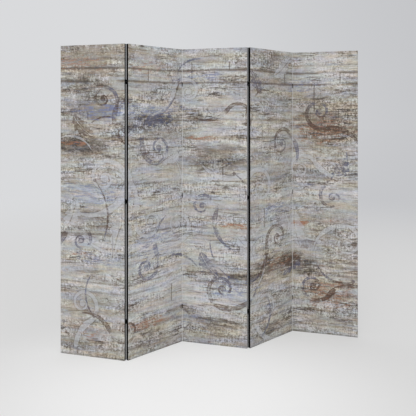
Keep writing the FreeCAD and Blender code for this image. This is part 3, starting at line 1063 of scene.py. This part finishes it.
def canvas_rows():
    """The level lines of a canvas's grid, among them the ends of each hinge."""
    top = PANEL_HEIGHT - STILE_WIDTH
    rows = [0.0, STILE_WIDTH / 2, STILE_WIDTH]
    for low, high in hinge_stretches():
        rows += steps(rows[-1], low, ROWS_BELOW_HINGE)[1:]
        rows += [low, high]
    rows += steps(rows[-1], top, ROWS_ABOVE_HINGES)[1:]
    return rows + [top, PANEL_HEIGHT - STILE_WIDTH / 2, PANEL_HEIGHT]


def barrel_sides(panel, face):
    """The edges of a canvas that hinge barrels pass: odd joints pivot behind, even ones in front."""
    sides = []
    if panel > 1 and (face == "back") == ((panel - 1) % 2 == 1):
        sides.append("left")
    if panel < PANELS and (face == "back") == (panel % 2 == 1):
        sides.append("right")
    return sides


def lay_canvas(mesh, outward, sides):
    """The outer face of a canvas, open where hinge barrels pass its edges."""
    xs = canvas_columns()
    zs = canvas_rows()
    half = PANEL_WIDTH / 2
    outside = FRAME_DEPTH / 2 + CANVAS_THICKNESS
    lows = [low for low, _ in hinge_stretches()]

    def is_slit(i, j):
        at_left = "left" in sides and xs[i] < -half + SLIT_DEPTH / 2
        at_right = "right" in sides and xs[i + 1] > half - SLIT_DEPTH / 2
        return (at_left or at_right) and any(abs(zs[j] - low) < MM for low in lows)

    def corner(x, z):
        return mesh.verts.new((x, outward * (outside - sag(x, z)), z))

    grid = [[corner(x, z) for x in xs] for z in zs]
    for j in range(len(zs) - 1):
        for i in range(len(xs) - 1):
            if is_slit(i, j):
                continue
            corners = [grid[j][i], grid[j][i + 1], grid[j + 1][i + 1], grid[j + 1][i]]
            if outward > 0:
                corners.reverse()
            mesh.faces.new(corners)


def thicken_canvas(mesh, outward):
    """Give the canvas its inner face on the frame, and ease its outer rim."""
    inner = outward * FRAME_DEPTH / 2
    copy = bmesh.ops.extrude_face_region(mesh, geom=list(mesh.faces))
    for item in copy["geom"]:
        if isinstance(item, bmesh.types.BMVert):
            item.co.y = inner
    loose = [vertex for vertex in mesh.verts if not vertex.link_faces]
    bmesh.ops.delete(mesh, geom=loose, context="VERTS")
    bmesh.ops.recalc_face_normals(mesh, faces=mesh.faces)
    rim = [
        edge
        for edge in sharp_edges(mesh, CLOTH_EDGE)
        if all(abs(vertex.co.y - inner) > CANVAS_THICKNESS / 4 for vertex in edge.verts)
    ]
    ease(mesh, rim, CANVAS_EASE)


def place_print(mesh, panel, face):
    """Lay the print on the canvas: it runs on from panel to panel, from left to right."""
    layer = mesh.loops.layers.uv[PRINT_MAP]
    before = panel - 1 if face == "front" else PANELS - panel
    rightward = 1 if face == "front" else -1
    for item in mesh.faces:
        for loop in item.loops:
            across = loop.vert.co.x * rightward + PANEL_WIDTH / 2
            loop[layer].uv = (before * PANEL_WIDTH + across, loop.vert.co.z)


def make_canvas(panel, face):
    """One canvas stretched over a face of the panel, slit where the hinge barrels lie."""
    outward = -1 if face == "front" else 1
    mesh = bmesh.new()
    mesh.loops.layers.uv.new(PRINT_MAP)
    lay_canvas(mesh, outward, barrel_sides(panel, face))
    thicken_canvas(mesh, outward)
    place_print(mesh, panel, face)
    item = add_piece(mesh, f"panel_{panel}_{face}_print", print_material)
    item.data.transform(panel_place(panel))
    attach(item, f"panel_{panel}")
    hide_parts(f"panel_{panel}_{face}_canvas")


def soften(name, width, material):
    """A copy of a node of the model with its sharp edges eased."""
    source = frame["nodes"][name]
    mesh = bmesh.new()
    mesh.from_mesh(source.data)
    flat = math.radians(FLAT_JOINT)
    bmesh.ops.remove_doubles(mesh, verts=mesh.verts, dist=WELD)
    bmesh.ops.dissolve_limit(mesh, angle_limit=flat, verts=mesh.verts, edges=mesh.edges)
    ease(mesh, sharp_edges(mesh, METAL_EDGE), width, clamp_overlap=True)
    item = add_piece(mesh, name + "_eased", material)
    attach(item, source["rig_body"])
    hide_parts(name)


def finish_node(name, material):
    """Give a node of the model its material."""
    data = frame["nodes"][name].data
    data.materials.clear()
    data.materials.append(material)


def make_panel(panel):
    """The canvases, frame, edge band and hinge screws of one panel."""
    for face in ("front", "back"):
        make_canvas(panel, face)
    for member in ("left_stile", "right_stile", "top_rail", "bottom_rail", "cross_rails"):
        finish_node(f"panel_{panel}_{member}", timber_material)
    finish_node(f"panel_{panel}_edge_band", band_material)
    soften(f"panel_{panel}_hinge_screws", SCREW_EASE, screw_material)


def make_joint(joint):
    """The leaves and pins of the three hinges between one panel and the next."""
    hinges = f"hinge_{joint}_{joint + 1}"
    for leaves in ("left_leaves", "right_leaves"):
        soften(f"{hinges}_{leaves}", LEAF_EASE, hinge_material)
    soften(f"{hinges}_pins", PIN_EASE, hinge_material)


# Stage
CAMERA_PLACE = (-0.871, -3.361, 1.370)
CAMERA_TURN = math.radians(-13.87)
CAMERA_LENS = 49.92
CAMERA_SENSOR = 36.0
CAMERA_SHIFT = -0.2196
LAMP_PLACE = (-1.9, -4.8, 3.2)
LAMP_SIZE = 2.6
LAMP_POWER = 94
ROOM_LIGHT = (0.80, 0.80, 0.80, 1.0)
BACKDROP = srgb(217, 218, 220)
# Painted shade: the backdrop's colour towards the right
BACKDROP_SHADED_RIGHT = srgb(196, 197, 200)
FLOOR = srgb(238, 238, 238)
# Painted light: the floor's seen colour at the bright spot in front of the screen
FLOOR_PAINTED_LIGHT = srgb(251, 251, 251)
FLOOR_SEEN_SIDE = srgb(227, 227, 227)
# The floor as it is seen has a painted pool of light: it is brightest at a spot. It fades to its
# side colour and, far away, into the backdrop, each from one distance to another.
PAINTED_LIGHT_SPOT = (-0.30, -0.52, 0.0)
ASIDE = (0.2, 1.4)
FAR = (1.6, 7.0)
# Painted glow: how strongly the seen floor glows in its seen colour, and its share, which lift the
# screen's shadow
PAINTED_GLOW = 0.90
PAINTED_GLOW_SHARE = 0.55
FLOOR_SIDES = 96
FLOOR_RADIUS = 60.0
FLOOR_DROP = 0.5 * MM
# The backdrop has painted shade: it is darker towards the right, and a little so upwards
RIGHT_START = 0.15
RIGHT_END = 0.66
UPWARD_SHARE = 0.3


def make_camera():
    """A level camera; its shift alone moves the screen up in the picture."""
    data = bpy.data.cameras.new("camera")
    data.sensor_width = CAMERA_SENSOR
    data.lens = CAMERA_LENS
    data.shift_y = CAMERA_SHIFT
    item = bpy.data.objects.new("camera", data)
    item.location = CAMERA_PLACE
    item.rotation_euler = (math.radians(90), 0, CAMERA_TURN)
    scene.collection.objects.link(item)
    scene.camera = item


def seen_directly(tree):
    """1 for rays from the camera, a mirror or glass, 0 for light."""
    rays = tree.nodes.new("ShaderNodeLightPath")
    kinds = ("Is Camera Ray", "Is Glossy Ray", "Is Transmission Ray")
    return largest([Field(tree, rays.outputs[kind]) for kind in kinds])


def backdrop_colour(rightward):
    """The backdrop, with painted shade that darkens it towards the right."""
    return mix(smooth(rightward, RIGHT_START, RIGHT_END), BACKDROP, BACKDROP_SHADED_RIGHT)


def make_world():
    """Even light from all round, and a backdrop with painted shade where it is seen."""
    world = bpy.data.worlds.new("studio")
    world.use_nodes = True
    tree = world.node_tree
    scene.world = world
    direct = seen_directly(tree)
    direction = add_node(tree, "ShaderNodeTexCoord", {}, "Generated")
    right, _, up = parts(direction)
    colour = mix(direct, ROOM_LIGHT, backdrop_colour(right + up * UPWARD_SHARE))
    background = tree.nodes["Background"]
    tree.links.new(colour.socket, background.inputs["Color"])
    background.inputs["Strength"].default_value = 1.0


def make_floor_material():
    """Pale and matt where it takes light; where it is seen, a painted pool of light and a painted
    glow that lifts the screen's shadow, then one with the backdrop.
    """
    material, tree, shader = new_material("pale_floor")
    place = object_place(tree)
    distance = length(place)
    x, _, _ = parts(place)
    seen = seen_directly(tree)
    from_painted_light = vector_math("DISTANCE", place, PAINTED_LIGHT_SPOT, output="Value")
    # Painted pool of light: the floor is seen brightest at a spot in front of the screen
    seen_with_painted_light = mix(smooth(from_painted_light, *ASIDE), FLOOR_PAINTED_LIGHT, FLOOR_SEEN_SIDE)
    connect(shader, Base_Color=mix(seen, FLOOR, seen_with_painted_light))
    shader.inputs["Roughness"].default_value = 0.9
    shader.inputs["Specular IOR Level"].default_value = 0.0
    surface = Field(tree, shader.outputs[0])
    # Painted glow: the seen floor partly glows in its colour, pool of light included, which lifts
    # the screen's shadow
    painted_glow = add_node(tree, "ShaderNodeEmission", {"Color": seen_with_painted_light, "Strength": PAINTED_GLOW})
    glowing_floor = add_node(tree, "ShaderNodeMixShader", {0: seen * PAINTED_GLOW_SHARE, 1: surface, 2: painted_glow})
    far = smooth(distance, *FAR) * seen
    # Far away the seen floor glows as the backdrop, with its painted shade towards the right
    glow = add_node(tree, "ShaderNodeEmission", {"Color": backdrop_colour(x / distance)})
    both = add_node(tree, "ShaderNodeMixShader", {0: far, 1: glowing_floor, 2: glow})
    tree.links.new(both.socket, tree.nodes["Material Output"].inputs["Surface"])
    return material


def make_floor():
    """A wide round floor just under the screen."""
    mesh = bmesh.new()
    bmesh.ops.create_circle(mesh, cap_ends=True, radius=FLOOR_RADIUS, segments=FLOOR_SIDES)
    item = add_piece(mesh, "floor", make_floor_material())
    item.location.z = -FLOOR_DROP


def make_lamp():
    """A round soft lamp aimed at the middle of the screen."""
    data = bpy.data.lights.new("key", "AREA")
    data.shape = "DISK"
    data.size = LAMP_SIZE
    data.energy = LAMP_POWER
    item = bpy.data.objects.new("key", data)
    item.location = LAMP_PLACE
    aim = Vector((0, 0, PANEL_HEIGHT / 2)) - Vector(LAMP_PLACE)
    item.rotation_euler = aim.to_track_quat("-Z", "Y").to_euler()
    scene.collection.objects.link(item)


make_camera()
make_world()
make_floor()
make_lamp()

print_material = make_print()
band_material = make_band()
hinge_material = make_hinge_metal()
screw_material = make_screw_metal()
timber_material = make_timber()

for panel in range(1, PANELS + 1):
    make_panel(panel)
for joint in range(1, PANELS):
    make_joint(joint)
